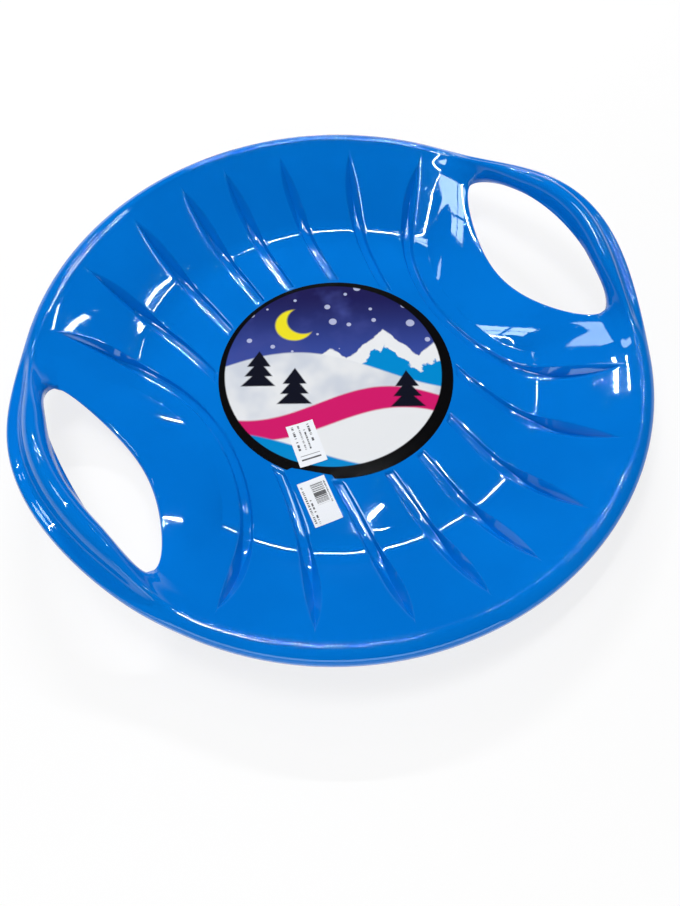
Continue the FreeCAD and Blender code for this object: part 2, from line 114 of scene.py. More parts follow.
# Columns of the shell's mesh: they follow the creases and grooves, with a few on each side of an edge
HOLE_COLUMNS = 24
GAP_COLUMNS = 6
CREASE_MARKS = (1.4, 0.6, 0.0, -0.6, -1.4)
MARK_REACH = 0.3
MARK_GAP = 0.1
SHOULDER = 2.5
TANGENT_ROOM = 1.5
ANGLE_SLACK = 1e-9
SHELL_WELD = 0.01


def smooth_min(a, b, width):
    blend = np.clip(0.5 + 0.5 * (b - a) / width, 0.0, 1.0)
    return b + (a - b) * blend - width * blend * (1.0 - blend)


def smooth_max(a, b, width):
    return -smooth_min(-a, -b, width)


def fade(value, start, end):
    """A smooth step from 0 at the start to 1 at the end."""
    part = np.clip((value - start) / (end - start), 0.0, 1.0)
    return part * part * (3.0 - 2.0 * part)


def dish_height(radius):
    """Height of the plain dish: flat floor, rounded bend, straight wall."""
    reach = np.clip(radius - FLOOR_RADIUS, 0.0, BEND_RADIUS * math.sin(WALL_SLOPE))
    bend = BEND_RADIUS - np.sqrt(BEND_RADIUS ** 2 - reach ** 2)
    wall = np.maximum(radius - FLOOR_RADIUS - BEND_RADIUS * math.sin(WALL_SLOPE), 0.0)
    return bend + wall * math.tan(WALL_SLOPE)


def near_arc(angle, near, bend):
    """Distance from the middle of the dish to the near side of an arc centred on X."""
    inside = np.maximum(bend ** 2 - ((near + bend) * np.sin(angle)) ** 2, 0.0)
    return (near + bend) * np.cos(angle) - np.sqrt(inside)


def groove_profile(radius):
    """Height of a groove's bottom, half width of its flat, and slope of its sides."""
    along = np.clip((radius - GROOVE_NOSE_RADIUS) / (FLOOR_RADIUS - GROOVE_NOSE_RADIUS), 0.0, 1.0)
    depth = GROOVE_NOSE_DEPTH + (GROOVE_DEPTH - GROOVE_NOSE_DEPTH) * along
    climb = np.maximum(radius - FLOOR_RADIUS, 0.0) / (GROOVE_TIP_RADIUS - FLOOR_RADIUS)
    keel = (dish_height(np.array(GROOVE_TIP_RADIUS)) + GROOVE_DEPTH) * climb ** 2 - depth
    on_wall = fade(radius, *GROOVE_FLAT_END)
    flat = GROOVE_FLAT_HALF * (1.0 - on_wall)
    side = GROOVE_FLOOR_SIDE + (GROOVE_WALL_SIDE - GROOVE_FLOOR_SIDE) * on_wall
    return keel, flat, side


def groove_height(x, y, radius):
    """Height of the sides, ends and bottoms of the runner grooves."""
    keel, flat, side = groove_profile(radius)
    gaps = [np.abs(np.hypot(np.abs(x) - near - bend, y) - bend) for near, bend in GROOVES]
    beside = smooth_max(np.minimum.reduce(gaps) - flat, 0.0, GROOVE_KEEL_SOFTNESS)
    before = np.maximum(GROOVE_NOSE_RADIUS - radius, 0.0)
    return keel + np.hypot(beside, before) * side


def handle_angle(angle):
    """Angle from the nearer grip, in radians."""
    return np.abs((angle + math.pi / 2) % math.pi - math.pi / 2)


def hole_edges(turn):
    """Inner and outer radius of the hand hole; they meet where the hole ends and run on as one."""
    part = np.clip(turn / HOLE_HALF_ANGLE, 0.0, 1.0)
    middle = HOLE_MIDDLE_RADIUS + (HOLE_END_RADIUS - HOLE_MIDDLE_RADIUS) * part ** 2
    middle = middle + (RIM_JOIN_RADIUS - HOLE_END_RADIUS) * fade(turn, HOLE_HALF_ANGLE, GRIP_LIFT_HALF_ANGLE)
    half = HOLE_HALF_WIDTH * np.sqrt(1.0 - part ** 2)
    return middle - half, middle + half


def surface_height(radius, angle):
    """Height of the dish with its grip platforms and runner grooves."""
    turn = handle_angle(angle)
    plain = dish_height(radius)
    near, bend = PLATFORM_CREASE
    reach = math.asin(bend / (near + bend))
    part = np.clip(turn / reach, 0.0, 1.0)
    crease = near_arc(turn, near, bend)
    top = PLATFORM_TOP_RADIUS + (PLATFORM_END_RADIUS - PLATFORM_TOP_RADIUS) * part ** 2
    start = dish_height(crease)
    finish = dish_height(top) + PLATFORM_RISE * (1.0 - part ** 2)
    ramp = start + (finish - start) * (radius - crease) / np.maximum(top - crease, PLATFORM_LEAST_RUN)
    weight = np.where(turn < reach, fade(top - crease, 0.0, PLATFORM_FADE), 0.0)
    height = plain + (smooth_max(plain, ramp, PLATFORM_SOFTNESS) - plain) * weight
    grooves = groove_height(radius * np.cos(angle), radius * np.sin(angle), radius)
    return smooth_min(height, grooves, GROOVE_EDGE_SOFTNESS)


def spline_weights(count, samples):
    """Weights of a clamped spline's control points at even steps along it."""
    inner = np.linspace(0.0, 1.0, count - SPLINE_DEGREE + 1)
    knots = np.concatenate((np.zeros(SPLINE_DEGREE), inner, np.ones(SPLINE_DEGREE)))
    at = np.linspace(0.0, 1.0, samples)
    weights = np.array([(knots[i] <= at) & (at < knots[i + 1]) for i in range(len(knots) - 1)], float)
    weights[count - 1, -1] = 1.0
    for degree in range(1, SPLINE_DEGREE + 1):
        raised = np.zeros((len(weights) - 1, samples))
        for i in range(len(raised)):
            left = knots[i + degree] - knots[i]
            right = knots[i + degree + 1] - knots[i + 1]
            if left > 0:
                raised[i] += (at - knots[i]) / left * weights[i]
            if right > 0:
                raised[i] += (knots[i + degree + 1] - at) / right * weights[i + 1]
        weights = raised
    return weights


def groove_marks(radius):
    """Distances from a groove's centre line at which its section turns."""
    radius = np.maximum(radius, GROOVE_NOSE_RADIUS)
    keel, flat, side = groove_profile(radius)
    top = flat + (dish_height(radius) - keel) / side
    marks = np.stack((np.zeros_like(flat), flat - MARK_REACH, flat, flat + MARK_REACH,
                      top - MARK_REACH, top, top + MARK_REACH, top + SHOULDER))
    spread = MARK_GAP * np.arange(len(marks))[:, None]
    return np.maximum.accumulate(marks - spread) + spread


def column_angles(rows):
    """Angles of the mesh columns at each row, along the holes, the platform creases and the grooves."""
    marks = groove_marks(rows)
    groove = np.vstack((marks[:0:-1], -marks))
    crease = np.repeat(np.array(CREASE_MARKS)[:, None], len(rows), 1)
    lines = [(PLATFORM_CREASE, crease)] + [(arc, groove) for arc in GROOVES]
    bands = []
    for (near, bend), across in lines:
        at = np.maximum(rows, near + across + TANGENT_ROOM)
        cosine = (at ** 2 + (near + bend) ** 2 - (bend - across) ** 2) / (2 * at * (near + bend))
        bands.append(np.arccos(cosine))
    bands.append(np.full((1, len(rows)), math.pi / 2))
    edge = bands[0][0]
    share = np.linspace(0.0, 1.0, GAP_COLUMNS + 2)[1:-1, None]
    in_hole = HOLE_HALF_ANGLE * np.sin(np.linspace(0.0, math.pi / 2, HOLE_COLUMNS))[:, None]
    beyond = HOLE_HALF_ANGLE + (edge[-1] - HOLE_HALF_ANGLE) * share
    quarter = [np.vstack((in_hole, beyond)) * edge / edge[-1]]
    for here, after in zip(bands, bands[1:]):
        quarter += [here, here[-1] + (after[0] - here[-1]) * share]
    quarter = np.vstack(quarter + bands[-1:]).T
    half = np.hstack((quarter, math.pi - quarter[:, -2:0:-1]))
    return np.hstack((half, half + math.pi))


def grid_faces(first, rows, columns):
    """Faces of a grid of points in row order, closed round its columns."""
    row, column = np.meshgrid(np.arange(rows - 1), np.arange(columns), indexing="ij")
    after = (column + 1) % columns
    corners = (row * columns + column, (row + 1) * columns + column,
               (row + 1) * columns + after, row * columns + after)
    return np.stack([c.ravel() for c in corners], 1) + first


def polar_points(radius, angle, height):
    around = np.broadcast_to(angle, radius.shape)
    return np.stack((radius * np.cos(around), radius * np.sin(around), height), -1).reshape(-1, 3)


def rim_section(turn, outer, start_height):
    """Control points of the rim's section at each column, swelling into the grips."""
    lift = 0.5 + 0.5 * np.cos(math.pi * np.clip(turn / GRIP_LIFT_HALF_ANGLE, 0.0, 1.0))
    ends = np.linspace(*CROWN_END, len(RIM_SECTION))[:, None]
    fulls = np.linspace(*CROWN_FULL, len(RIM_SECTION))[:, None]
    crown = fade(turn[None, :], ends, fulls)
    swell = GRIP_SECTION - RIM_SECTION - GRIP_LIFT
    control = RIM_SECTION[:, None] + lift[None, :, None] * GRIP_LIFT + crown[..., None] * swell[:, None]
    control[0, :, 0] = outer
    control[0, :, 1] = start_height
    return control


def shell_skin():
    """Points and faces of the top skin of the moulding, in millimetres."""
    start, close_end, close_count = CLOSE_ROWS
    close = np.linspace(start, close_end, close_count, endpoint=False)
    rows = np.concatenate((close, np.linspace(close_end, RIM_JOIN_RADIUS, WIDE_ROWS)))
    around = column_angles(rows)
    angle = around[-1]
    turn = handle_angle(angle)
    inner, outer = hole_edges(turn)
    in_hole = turn < HOLE_HALF_ANGLE - ANGLE_SLACK
    columns = len(angle)

    # Dish, whose rows are drawn in to the near edge of the hand holes
    pull = np.clip((rows - PULL_RADIUS) / (RIM_JOIN_RADIUS - PULL_RADIUS), 0.0, 1.0)[:, None]
    drawn_in = RIM_JOIN_RADIUS - hole_edges(handle_angle(around))[0]
    flat = [np.full((1, columns), r) for r in FLAT_ROWS]
    radius = np.vstack(flat + [rows[:, None] - drawn_in * pull])
    around = np.vstack([around[:1]] * len(FLAT_ROWS) + [around])
    height = surface_height(radius, around)
    dish = polar_points(radius, around, height)
    dish_faces = grid_faces(0, len(radius), columns)

    # Lip turned down along the near edge of the hand holes
    curl = np.linspace(0.0, math.pi / 2, LIP_ROWS)[:, None]
    part = np.clip(turn / HOLE_HALF_ANGLE, 0.0, 1.0)
    size = HOLE_LIP * np.sqrt(1.0 - part ** 2)
    lip = polar_points(inner + size * np.sin(curl), angle, height[-1] - size * (1.0 - np.cos(curl)))
    beside = in_hole | np.roll(in_hole, -1)
    lip_faces = grid_faces(len(dish), LIP_ROWS, columns)[np.tile(beside, LIP_ROWS - 1)]

    # Rim and grips
    foot = dish_height(np.array(HOLE_END_RADIUS))
    leg = foot + (GRIP_SECTION[0, 1] - foot) * (1.0 - part ** 2)
    control = rim_section(turn, outer, np.where(in_hole, leg, height[-1]))
    section = np.einsum("ks,kcd->scd", spline_weights(len(RIM_SECTION), RIM_ROWS), control)
    rim = polar_points(section[..., 0], angle, section[..., 1])
    rim_faces = grid_faces(len(dish) + len(lip), RIM_ROWS, columns)
    return np.vstack((dish, lip, rim)), np.vstack((dish_faces, lip_faces, rim_faces))


# Sheets: the turn at which a cut edge stays sharp, and the side that the thickness lies on
CUT_EDGE_ANGLE = math.radians(40.0)
DOWNWARD = -1.0


def add_object(name, points, faces, at=(0.0, 0.0, 0.0), turn=0.0):
    """A smooth object of the given points and faces, set in its place."""
    mesh = bpy.data.meshes.new(name)
    mesh.from_pydata(np.asarray(points).tolist(), [], np.asarray(faces).tolist())
    mesh.polygons.foreach_set("use_smooth", np.ones(len(mesh.polygons), bool))
    obj = bpy.data.objects.new(name, mesh)
    obj.location = at
    obj.rotation_euler = (0.0, 0.0, turn)
    bpy.context.collection.objects.link(obj)
    return obj


def join_points(obj, distance):
    """Joins the points that lie closer together than the distance."""
    weld = obj.modifiers.new("weld", "WELD")
    weld.merge_threshold = distance


def thicken(obj, thickness):
    """Gives a sheet its thickness, below the surface as drawn."""
    solid = obj.modifiers.new("thickness", "SOLIDIFY")
    solid.thickness = thickness
    solid.offset = DOWNWARD


def sharpen_edge(obj):
    """Keeps the film's or paper's cut edge sharp."""
    split = obj.modifiers.new("cut_edge", "EDGE_SPLIT")
    split.split_angle = CUT_EDGE_ANGLE


def build_shell():
    points, faces = shell_skin()
    shell = add_object("shell", points * MM, faces, (0.0, 0.0, FLOOR_TOP))
    join_points(shell, SHELL_WELD * MM)
    thicken(shell, SHELL_THICKNESS * MM)
    return shell


# Decal: a round film with a flat bite out of its edge, pressed on with a few low waves
DECAL_RINGS = 36
DECAL_SPOKES = 240
DECAL_WAVE = 0.06 * MM
DECAL_WAVES_AROUND = 9
DECAL_WAVE_TWIST = 30
DECAL_WELD = 0.001 * MM
NOTCH_ANGLE = math.radians(226.0)
NOTCH_DEPTH = 5.0 * MM
NOTCH_HALF_WIDTH = 19.0 * MM


def decal_edge(angle):
    """Radius of the film's edge, set back along the flat bite."""
    gap = np.abs((angle - NOTCH_ANGLE + math.pi) % (2 * math.pi) - math.pi)
    half = math.asin(NOTCH_HALF_WIDTH / DECAL_RADIUS)
    bite = (DECAL_RADIUS - NOTCH_DEPTH) / np.cos(np.minimum(gap, half))
    return np.where(gap < half, bite, DECAL_RADIUS)


def build_decal():
    angle = np.linspace(0.0, 2 * math.pi, DECAL_SPOKES, endpoint=False)
    share = np.linspace(0.0, 1.0, DECAL_RINGS)[:, None]
    radius = share * decal_edge(angle)
    swell = 1.0 - (2.0 * share - 1.0) ** 2
    wave = np.sin(DECAL_WAVES_AROUND * angle + DECAL_WAVE_TWIST * share) * swell * DECAL_WAVE
    points = polar_points(radius, angle, wave + DECAL_THICKNESS - DECAL_WAVE)
    faces = grid_faces(0, DECAL_RINGS, DECAL_SPOKES)
    decal = add_object("decal_film", points, faces, (0.0, 0.0, FLOOR_TOP))
    join_points(decal, DECAL_WELD)
    thicken(decal, DECAL_THICKNESS - 2 * DECAL_WAVE)
    sharpen_edge(decal)
    return decal


# Labels: thin paper rectangles whose corners lift a little
LABEL_SIZE = (43.0 * MM, 25.0 * MM)
LABEL_LIFT = 0.5 * MM
LABEL_CURL = (6, 4)
LABEL_STEPS = (30, 18)
BARCODE_TURN = math.radians(80.0)
PRICE_TURN = math.radians(76.5)


def build_label(node, turn):
    low, high = (Vector(corner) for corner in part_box(node))
    middle = (low + high) / 2
    thickness = high.z - low.z
    across, along = np.meshgrid(*(np.linspace(-1.0, 1.0, steps) for steps in LABEL_STEPS), indexing="ij")
    lift = LABEL_LIFT * (np.abs(across) ** LABEL_CURL[0] * np.abs(along) ** LABEL_CURL[1])
    points = np.stack((across * LABEL_SIZE[0] / 2, along * LABEL_SIZE[1] / 2, lift + thickness), -1)
    rows, columns = LABEL_STEPS
    faces = grid_faces(0, rows, columns).reshape(rows - 1, columns, 4)[:, :-1]
    at = (middle.x, middle.y, low.z)
    label = add_object(node + "_paper", points.reshape(-1, 3), faces.reshape(-1, 4), at, turn)
    thicken(label, thickness)
    sharpen_edge(label)
    return label


class Graph:
    """The shader nodes of a material or of the room."""

    def __init__(self, owner, shader="Principled BSDF"):
        owner.use_nodes = True
        self.owner = owner
        self.tree = owner.node_tree
        self.shader = self.tree.nodes[shader]

    def wire(self, value, socket):
        if isinstance(value, bpy.types.NodeSocket):
            self.tree.links.new(value, socket)
        else:
            socket.default_value = value

    def add(self, kind, inputs, **settings):
        node = self.tree.nodes.new(kind)
        for key, value in settings.items():
            setattr(node, key, value)
        for key, value in inputs.items():
            self.wire(value, node.inputs[key])
        return node

    def math(self, operation, a, b=0.0):
        return self.add("ShaderNodeMath", {0: a, 1: b}, operation=operation).outputs[0]

    def mix(self, factor, a, b):
        return self.add("ShaderNodeMix", {0: factor, 6: a, 7: b}, data_type="RGBA").outputs[2]

    def step(self, value, low, high, to_low=0.0, to_high=1.0):
        inputs = {"Value": value, "From Min": low, "From Max": high, "To Min": to_low, "To Max": to_high}
        return self.add("ShaderNodeMapRange", inputs, interpolation_type="SMOOTHSTEP").outputs[0]

    def place(self, scale=(1.0, 1.0, 1.0), turn=0.0):
        coordinates = self.add("ShaderNodeTexCoord", {}).outputs["Object"]
        inputs = {"Vector": coordinates, "Scale": scale, "Rotation": (0.0, 0.0, turn)}
        return self.add("ShaderNodeMapping", inputs).outputs[0]

    def noise(self, vector, scale, detail=2.0, roughness=0.5):
        inputs = {"Vector": vector, "Scale": scale, "Detail": detail, "Roughness": roughness}
        return self.add("ShaderNodeTexNoise", inputs).outputs["Fac"]

    def bump(self, height, strength, distance, below=None):
        inputs = {"Height": height, "Strength": strength, "Distance": distance}
        if below is not None:
            inputs["Normal"] = below
        return self.add("ShaderNodeBump", inputs).outputs[0]

    def to(self, name, value):
        self.wire(value, self.shader.inputs[name])


def colour(red, green, blue):
    """A colour from its screen values of 0 to 255, by the standard screen curve."""
    screen = np.array((red, green, blue)) / 255.0
    linear = np.where(screen <= 0.04045, screen / 12.92, ((screen + 0.055) / 1.055) ** 2.4)
    return (*linear.tolist(), 1.0)


WHITE = (1.0, 1.0, 1.0, 1.0)
NOISE_MIDDLE = 0.5

# Plastic: a noise is its scale, detail and roughness, and a bump its strength and depth
PLASTIC_COLOURS = (colour(0, 113, 207), colour(1, 119, 215))
PLASTIC_IOR = 1.49
PLASTIC_SPECULAR_TINT = (0.72, 0.95, 1.0, 1.0)
PLASTIC_ROUGHNESS = (0.015, 0.045)
FLOW_NOISE = (9.0, 3.0)
FLOW_RANGE = (0.35, 0.7)
DUST_NOISE = (55.0, 4.0, 0.65)
DUST_RANGE = (0.35, 0.8)
RIPPLE_NOISE = (26.0, 1.0)
RIPPLE_BUMP = (0.10, 0.0002)

# Scuffs of the plastic: each pattern is its scale along the axes, its turn and the range in which it shows
SCUFF_PATTERNS = (((30.0, 900.0, 30.0), 0.6, (0.70, 0.76)), ((700.0, 24.0, 24.0), 0.25, (0.71, 0.77)))
SCUFF_NOISE = (1.0, 1.0)
SCUFF_BUMP = (0.04, 0.0001)


def plastic_material():
    """Glossy blue moulding: faint flow marks, a slight ripple, hairline scuffs and dust in the gloss."""
    g = Graph(bpy.data.materials.new("moulded_plastic"))
    spot = g.place()
    flow = g.step(g.noise(spot, *FLOW_NOISE), *FLOW_RANGE)
    g.to("Base Color", g.mix(flow, *PLASTIC_COLOURS))
    g.to("Roughness", g.step(g.noise(spot, *DUST_NOISE), *DUST_RANGE, *PLASTIC_ROUGHNESS))
    ripple = g.bump(g.noise(spot, *RIPPLE_NOISE), *RIPPLE_BUMP)
    scuffs = []
    for scale, turn, shown in SCUFF_PATTERNS:
        scuffs.append(g.step(g.noise(g.place(scale, turn), *SCUFF_NOISE), *shown))
    g.to("Normal", g.bump(g.math("MAXIMUM", *scuffs), *SCUFF_BUMP, ripple))
    g.to("IOR", PLASTIC_IOR)
    g.to("Specular Tint", PLASTIC_SPECULAR_TINT)
    return g.owner


# Decal print: a snowy night over hills in an off-centre black border, in shares of the film's radius
PRINT_TURN = math.radians(32.0)
PRINT_SOFTNESS = 0.012
BORDER_SHIFT = (-0.022, 0.030)
BORDER_RADIUS = 0.925
BORDER_SOFTNESS = 0.006
BORDER_COLOUR = colour(7, 7, 9)

# Sky of the print, with clouds, falling snow and a moon with a bite out of it
SKY_RANGE = (-0.1, 0.9)
SKY_COLOURS = (colour(62, 84, 170), colour(28, 26, 82))
CLOUD_NOISE = (2.2, 3.0)
CLOUD_RANGE = (0.45, 0.75)
CLOUD_COLOUR = colour(66, 76, 150)
FLECK_SCALE = 4.5
FLECK_SIZE = 0.17
FLECK_SOFTNESS = 0.015
FLECK_STRENGTH = 0.8
FLECK_COLOUR = colour(196, 202, 232)
MOON = ((-0.36, 0.52), 0.17)
MOON_BITE = ((-0.28, 0.57), 0.15)
MOON_COLOUR = colour(240, 226, 40)

# Peaks of the print: each is its top and slope
PEAKS = (((0.42, 0.46), 0.95), ((-0.05, 0.26), 0.8), ((0.86, 0.30), 0.9))
PEAK_NOISE = (7.0, 3.0)
PEAK_ROUGHNESS = 0.12
PEAK_CAP = 0.17
PEAK_CAP_ROUGHNESS = 2.5
PEAK_CAP_COLOUR = colour(236, 238, 240)
PEAK_COLOUR = colour(0, 138, 208)

# Hills of the print: each is a wave's pace, shift, swing and level
SNOW_HILL = (2.1, 2.3, 0.20, 0.02)
SNOW_NOISE = (3.0, 2.0)
SNOW_RANGE = (0.35, 0.7)
SNOW_COLOURS = (colour(232, 234, 236), colour(206, 212, 222))
LOWER_HILLS = (
    ((2.7, 0.4, 0.16, -0.30), colour(210, 28, 106)),
    ((2.7, 0.1, 0.15, -0.50), colour(234, 236, 238)),
    ((2.0, 3.6, 0.18, -0.74), colour(0, 138, 208)),
)

# Trees of the print: tiers that widen downwards from a top
TREE_TOPS = ((-0.66, 0.24), (-0.35, 0.06), (0.60, 0.02))
TREE_TIERS = 3
TREE_TIER_STEP = 0.10
TREE_TIER_HEIGHT = 0.17
TREE_FOOT_SOFTNESS = 0.015
TREE_SLOPE = 1.6
TREE_SLOPE_STEP = 0.25
TREE_COLOUR = colour(18, 20, 34)

# Film surface: fine grain in its gloss, and creases
FILM_NOISE = (160.0, 2.0)
FILM_RANGE = (0.3, 0.7)
FILM_ROUGHNESS = (0.07, 0.12)
FILM_CREASE_SCALE = (18.0, 90.0, 20.0)
FILM_CREASE_TURN = 0.9
FILM_CREASE_NOISE = (1.0, 2.0)
FILM_CREASE_BUMP = (0.22, 0.0005)


def decal_material():
    g = Graph(bpy.data.materials.new("decal_print"))
    spot = g.place((1.0 / DECAL_RADIUS, 1.0 / DECAL_RADIUS, 1.0 / DECAL_RADIUS), PRINT_TURN)
    parts = g.add("ShaderNodeSeparateXYZ", {0: spot})
    u, v = parts.outputs[0], parts.outputs[1]

    def wave(pace, shift, swing, level):
        inner = g.math("SINE", g.math("ADD", g.math("MULTIPLY", u, pace), shift))
        return g.math("ADD", g.math("MULTIPLY", inner, swing), level)

    def below(line):
        return g.step(g.math("SUBTRACT", line, v), -PRINT_SOFTNESS, PRINT_SOFTNESS)

    def disc(at, radius, soft=PRINT_SOFTNESS):
        gap_u = g.math("SUBTRACT", u, at[0])
        gap_v = g.math("SUBTRACT", v, at[1])
        squares = g.math("ADD", g.math("MULTIPLY", gap_u, gap_u), g.math("MULTIPLY", gap_v, gap_v))
        return g.step(g.math("SQRT", squares), radius + soft, radius - soft)

    def peak(top, slope):
        gap = g.math("ABSOLUTE", g.math("SUBTRACT", u, top[0]))
        return g.math("SUBTRACT", top[1], g.math("MULTIPLY", gap, slope))

    sky = g.mix(g.step(v, *SKY_RANGE), *SKY_COLOURS)
    sky = g.mix(g.step(g.noise(spot, *CLOUD_NOISE), *CLOUD_RANGE), sky, CLOUD_COLOUR)
    inputs = {"Vector": spot, "Scale": FLECK_SCALE}
    cells = g.add("ShaderNodeTexVoronoi", inputs, voronoi_dimensions="2D", feature="F1")
    cell_share = g.add("ShaderNodeSeparateColor", {0: cells.outputs["Color"]}).outputs[0]
    fleck_size = g.math("MULTIPLY", cell_share, FLECK_SIZE)
    outside = g.math("SUBTRACT", cells.outputs["Distance"], fleck_size)
    flecks = g.step(outside, FLECK_SOFTNESS, -FLECK_SOFTNESS)
    art = g.mix(g.math("MULTIPLY", flecks, FLECK_STRENGTH), sky, FLECK_COLOUR)
    moon = g.math("MULTIPLY", disc(*MOON), g.math("SUBTRACT", 1.0, disc(*MOON_BITE)))
    art = g.mix(moon, art, MOON_COLOUR)

    ridges = peak(*PEAKS[0])
    for top, slope in PEAKS[1:]:
        ridges = g.math("MAXIMUM", ridges, peak(top, slope))
    uneven = g.math("SUBTRACT", g.noise(spot, *PEAK_NOISE), NOISE_MIDDLE)
    rough = g.math("MULTIPLY", uneven, PEAK_ROUGHNESS)
    art = g.mix(below(g.math("ADD", ridges, rough)), art, PEAK_CAP_COLOUR)
    cap_foot = g.math("SUBTRACT", ridges, PEAK_CAP)
    cap_edge = g.math("ADD", cap_foot, g.math("MULTIPLY", rough, PEAK_CAP_ROUGHNESS))
    art = g.mix(below(cap_edge), art, PEAK_COLOUR)

    snow = g.mix(g.step(g.noise(spot, *SNOW_NOISE), *SNOW_RANGE), *SNOW_COLOURS)
    art = g.mix(below(wave(*SNOW_HILL)), art, snow)
    for hill, hill_colour in LOWER_HILLS:
        art = g.mix(below(wave(*hill)), art, hill_colour)
    for across, up in TREE_TOPS:
        for tier in range(TREE_TIERS):
            top = (across, up - TREE_TIER_STEP * tier)
            foot = top[1] - TREE_TIER_HEIGHT
            sides = below(peak(top, TREE_SLOPE - TREE_SLOPE_STEP * tier))
            tree = g.math("MULTIPLY", sides, g.step(v, foot, foot + TREE_FOOT_SOFTNESS))
            art = g.mix(tree, art, TREE_COLOUR)

    g.to("Base Color", g.mix(disc(BORDER_SHIFT, BORDER_RADIUS, BORDER_SOFTNESS), BORDER_COLOUR, art))
    g.to("Roughness", g.step(g.noise(spot, *FILM_NOISE), *FILM_RANGE, *FILM_ROUGHNESS))
    creases = g.noise(g.place(FILM_CREASE_SCALE, FILM_CREASE_TURN), *FILM_CREASE_NOISE)
    g.to("Normal", g.bump(creases, *FILM_CREASE_BUMP))
    return g.owner


# Label print: strips of strokes and bars that stand for small type, none of it readable
BARCODE_PRINT = (
    (-0.9, 0.85, 0.74, 0.88, 26.0),
    (-0.9, 0.2, 0.50, 0.62, 24.0),
    (-0.2, 0.82, -0.86, -0.76, 34.0),
    (-0.15, 0.80, -0.68, 0.20, 44.0),
)
PRICE_PRINT = (
    (-0.3, 0.9, 0.52, 0.68, 24.0),
    (-0.3, 0.9, 0.10, 0.22, 30.0),
    (-0.3, 0.7, -0.24, -0.12, 28.0),
    (0.0, 0.9, -0.62, -0.46, 20.0),
    (-0.92, -0.52, -0.70, 0.72, 9.0),
)
INK_SOFTNESS = 0.02
INK_LEVEL = 0.48
INK_NOISE = (1.0, 0.0)
INK_COLOUR = colour(52, 54, 60)
FIBRE_NOISE = (40.0, 3.0)
FIBRE_RANGE = (0.3, 0.7)
FIBRE_BUMP = (0.08, 0.0002)
PAPER_COLOURS = (colour(226, 230, 236), colour(240, 242, 246))
PAPER_ROUGHNESS = (0.42, 0.56)


def label_material(name, strips):
    """White paper; a strip is its left, right, low and high edge in half labels, and its strokes' pace."""
    g = Graph(bpy.data.materials.new(name))
    spot = g.place((2.0 / LABEL_SIZE[0], 2.0 / LABEL_SIZE[1], 1.0))
    parts = g.add("ShaderNodeSeparateXYZ", {0: spot})
    u, v = parts.outputs[0], parts.outputs[1]

    def above(value, edge):
        return g.step(value, edge - INK_SOFTNESS, edge + INK_SOFTNESS)

    def under(value, edge):
        return g.step(value, edge + INK_SOFTNESS, edge - INK_SOFTNESS)

    def strokes(pace, shift):
        line = g.add("ShaderNodeCombineXYZ", {0: g.math("MULTIPLY", u, pace), 1: shift}).outputs[0]
        return above(g.noise(line, *INK_NOISE), INK_LEVEL)

    marks = []
    for left, right, low, high, pace in strips:
        wide = g.math("MULTIPLY", above(u, left), under(u, right))
        tall = g.math("MULTIPLY", above(v, low), under(v, high))
        marks.append(g.math("MULTIPLY", g.math("MULTIPLY", wide, tall), strokes(pace, pace + low)))
    ink = marks[0]
    for mark in marks[1:]:
        ink = g.math("MAXIMUM", ink, mark)
    fibre = g.noise(spot, *FIBRE_NOISE)
    paper = g.mix(g.step(fibre, *FIBRE_RANGE), *PAPER_COLOURS)
    g.to("Base Color", g.mix(ink, paper, INK_COLOUR))
    g.to("Roughness", g.step(fibre, *FIBRE_RANGE, *PAPER_ROUGHNESS))
    g.to("Normal", g.bump(fibre, *FIBRE_BUMP))
    return g.owner


def dress(piece, material, node):
    piece.data.materials.append(material)
    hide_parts(node)
    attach(piece, "root")


LABELS = (
    ("barcode_label", BARCODE_TURN, "barcode_paper", BARCODE_PRINT),
    ("price_label", PRICE_TURN, "price_paper", PRICE_PRINT),
)

dress(build_shell(), plastic_material(), "saucer_body")
dress(build_decal(), decal_material(), "decal")
for node, turn, paper, strips in LABELS:
    dress(build_label(node, turn), label_material(paper, strips), node)

# Camera, as it stood over the sled
CAMERA_POSITION = Vector((-0.1988, -0.3228, FLOOR_TOP + 0.557))
CAMERA_AZIMUTH = math.radians(-32.06)
CAMERA_ELEVATION = math.radians(62.09)
CAMERA_ROLL = math.radians(-0.79)
CAMERA_LENS = 28.6

camera_data = bpy.data.cameras.new("camera")
camera_data.lens = CAMERA_LENS
camera = bpy.data.objects.new("camera", camera_data)
bpy.context.collection.objects.link(camera)
bpy.context.scene.camera = camera
turned = Matrix.Rotation(CAMERA_AZIMUTH, 4, "Z") @ Matrix.Rotation(math.pi / 2 - CAMERA_ELEVATION, 4, "X")
camera.matrix_world = Matrix.Translation(CAMERA_POSITION) @ turned @ Matrix.Rotation(CAMERA_ROLL, 4, "Z")

# Ground under the sled: pale and matt, seen nearly white with the shadow kept
GROUND_HALF = 6.0
GROUND_WHITE = 0.8
GROUND_COLOURS = (colour(246, 246, 246), colour(250, 250, 250))
GROUND_NOISE = (40.0, 3.0)
GROUND_ROUGHNESS = 0.9


